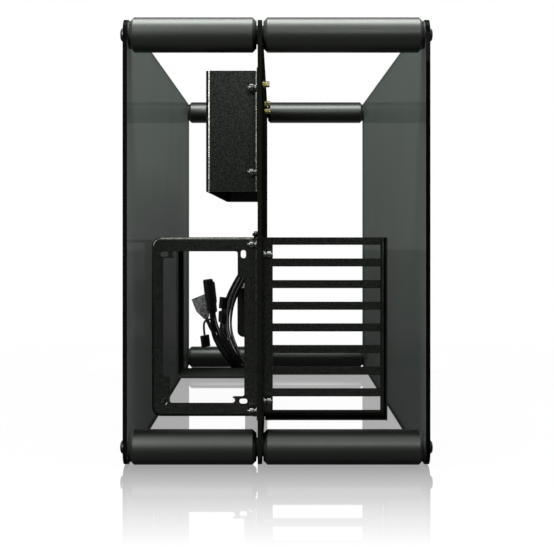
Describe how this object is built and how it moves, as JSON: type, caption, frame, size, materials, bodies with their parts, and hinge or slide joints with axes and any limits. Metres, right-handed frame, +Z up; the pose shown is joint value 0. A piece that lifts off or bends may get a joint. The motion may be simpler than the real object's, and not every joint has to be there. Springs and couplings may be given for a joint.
{
  "type": "computer case",
  "caption": "Open-frame tower computer case: smoked glass sides on round spacers around a center plate with folded brackets for drives, power supply and expansion cards.",
  "frame": {"origin": "on the floor below the middle of the case", "axes": "+X to the expansion-slot side as seen from the rear, +Y from the rear to the front, +Z up"},
  "size_m": [0.2838, 0.6718, 0.4068],
  "materials": {
    "spacers": "satin black anodised",
    "smoked_glass": "smoked tempered glass",
    "plate": "fine matt black coat",
    "brackets": "fine textured black powder coat",
    "dark_screws": "black oxide",
    "washers": "black plastic",
    "screws": "black nickel",
    "brass": "bright brass",
    "housing": "matt black plastic",
    "buttons": "satin",
    "board": "circuit board",
    "socket_metal": "nickel",
    "black_plastic": "black plastic",
    "grey_plastic": "grey plastic",
    "cable_jacket": "black jacket"
  },
  "bodies": {
    "case": {"audio_cable": "cable_jacket", "audio_jacks": "black_plastic", "audio_plug": "grey_plastic", "button_switches": "black_plastic", "cable_gland": "cable_jacket", "center_plate": "plate", "data_cable": "cable_jacket", "data_plug": "black_plastic", "drive_box": "brackets", "drive_box_screws": "screws", "glass_left": "smoked_glass", "glass_right": "smoked_glass", "glass_screws_left": "dark_screws", "glass_screws_right": "dark_screws", "glass_washers_left": "washers", "glass_washers_right": "washers", "io_board": "board", "io_housing": "housing", "io_housing_screws": "screws", "joining_studs": "screws", "lamp_lead": "cable_jacket", "lamp_plug": "black_plastic", "lead_plug": "black_plastic", "plate_washers_left": "washers", "plate_washers_right": "washers", "psu_frame": "brackets", "psu_frame_screws": "screws", "psu_support": "brackets", "psu_support_screws": "screws", "reset_lead": "cable_jacket", "reset_plug": "black_plastic", "second_cable": "cable_jacket", "second_plug": "black_plastic", "slot_frame": "brackets", "slot_frame_screws": "screws", "standoffs": "brass", "switch_lead": "cable_jacket", "tube_left_front_bottom": "spacers", "tube_left_front_top": "spacers", "tube_left_rear_bottom": "spacers", "tube_left_rear_top": "spacers", "tube_right_front_bottom": "spacers", "tube_right_front_top": "spacers", "tube_right_rear_bottom": "spacers", "tube_right_rear_top": "spacers", "usb_ports": "socket_metal"},
    "power_button": {"power_button": "buttons"},
    "reset_button": {"reset_button": "buttons"}
  },
  "joints": [
    {"name": "power_press", "type": "slide", "parent": "case", "child": "power_button", "axis": [0, -1, 0], "range_m": [0, 0.0012], "stiffness_N_per_m": 900},
    {"name": "reset_press", "type": "slide", "parent": "case", "child": "reset_button", "axis": [0, -1, 0], "range_m": [0, 0.0012], "stiffness_N_per_m": 600}
  ]
}
